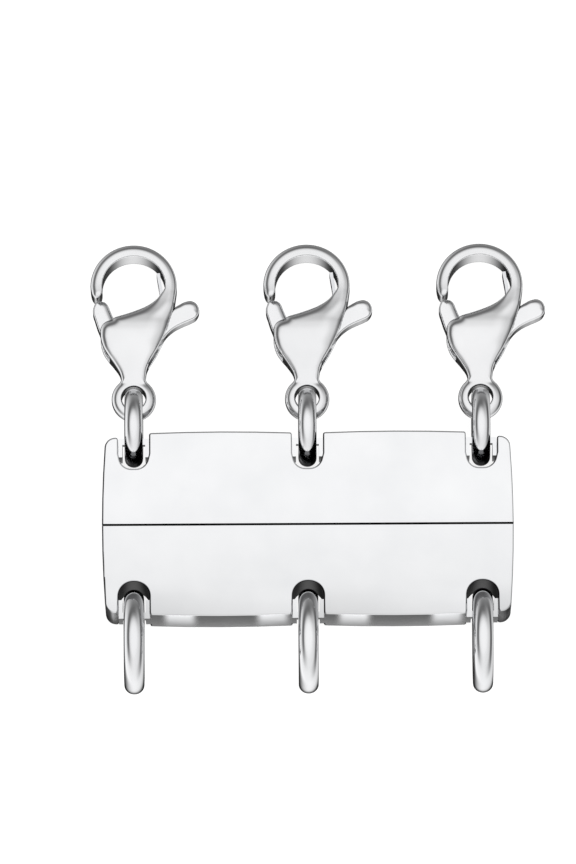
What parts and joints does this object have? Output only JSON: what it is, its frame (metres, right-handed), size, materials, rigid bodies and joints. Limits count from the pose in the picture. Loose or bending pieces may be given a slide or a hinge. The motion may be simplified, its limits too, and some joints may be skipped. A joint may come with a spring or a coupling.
{
  "type": "multi-strand clasp",
  "caption": "Magnetic bar clasp in polished steel: two mating bar halves, jump rings in slots, and sprung lobster claws linked to the rings of one half.",
  "frame": {"origin": "middle of the seam between the two halves, on the plane of their flat backs, which rest on the table", "axes": "+X along the bar to the right as seen from the front, +Y from the seam towards the claws, +Z out of the polished front face"},
  "size_m": [0.0265, 0.0269, 0.0061],
  "materials": {
    "bar_steel": "mirror polished stainless steel",
    "ring_steel": "tumble polished stainless steel wire",
    "claw_steel": "polished stainless steel casting",
    "lever_steel": "polished stainless steel casting",
    "pin_steel": "plain",
    "spring_steel": "plain rolled strip",
    "magnet_plating": "nickel plated"
  },
  "bodies": {
    "upper_half": {"upper_bar": "bar_steel", "upper_magnet_left": "magnet_plating", "upper_magnet_right": "magnet_plating", "upper_ring_left": "ring_steel", "upper_ring_middle": "ring_steel", "upper_ring_right": "ring_steel", "claw_left_body": "claw_steel", "claw_left_pin": "pin_steel", "claw_left_spring": "spring_steel", "claw_middle_body": "claw_steel", "claw_middle_pin": "pin_steel", "claw_middle_spring": "spring_steel", "claw_right_body": "claw_steel", "claw_right_pin": "pin_steel", "claw_right_spring": "spring_steel"},
    "lower_half": {"lower_bar": "bar_steel", "lower_magnet_left": "magnet_plating", "lower_magnet_right": "magnet_plating", "lower_ring_left": "ring_steel", "lower_ring_middle": "ring_steel", "lower_ring_right": "ring_steel"},
    "claw_left_lever": {"claw_left_lever": "lever_steel"},
    "claw_middle_lever": {"claw_middle_lever": "lever_steel"},
    "claw_right_lever": {"claw_right_lever": "lever_steel"}
  },
  "joints": [
    {"name": "clasp_pull", "type": "slide", "parent": "upper_half", "child": "lower_half", "axis": [0, -1, 0], "range_m": [0, 0.012]},
    {"name": "claw_left_opening", "type": "hinge", "parent": "upper_half", "child": "claw_left_lever", "pos_m": [-0.01123, 0.01099, 0.00145], "axis": [0, -0.1132, -0.9936], "range_deg": [0, 25], "stiffness_Nm_per_rad": 0.001, "springref_deg": -11.46},
    {"name": "claw_middle_opening", "type": "hinge", "parent": "upper_half", "child": "claw_middle_lever", "pos_m": [-0.00115, 0.01099, 0.00145], "axis": [0, -0.1132, -0.9936], "range_deg": [0, 25], "stiffness_Nm_per_rad": 0.001, "springref_deg": -11.46},
    {"name": "claw_right_opening", "type": "hinge", "parent": "upper_half", "child": "claw_right_lever", "pos_m": [0.00893, 0.01099, 0.00145], "axis": [0, -0.1132, -0.9936], "range_deg": [0, 25], "stiffness_Nm_per_rad": 0.001, "springref_deg": -11.46}
  ]
}
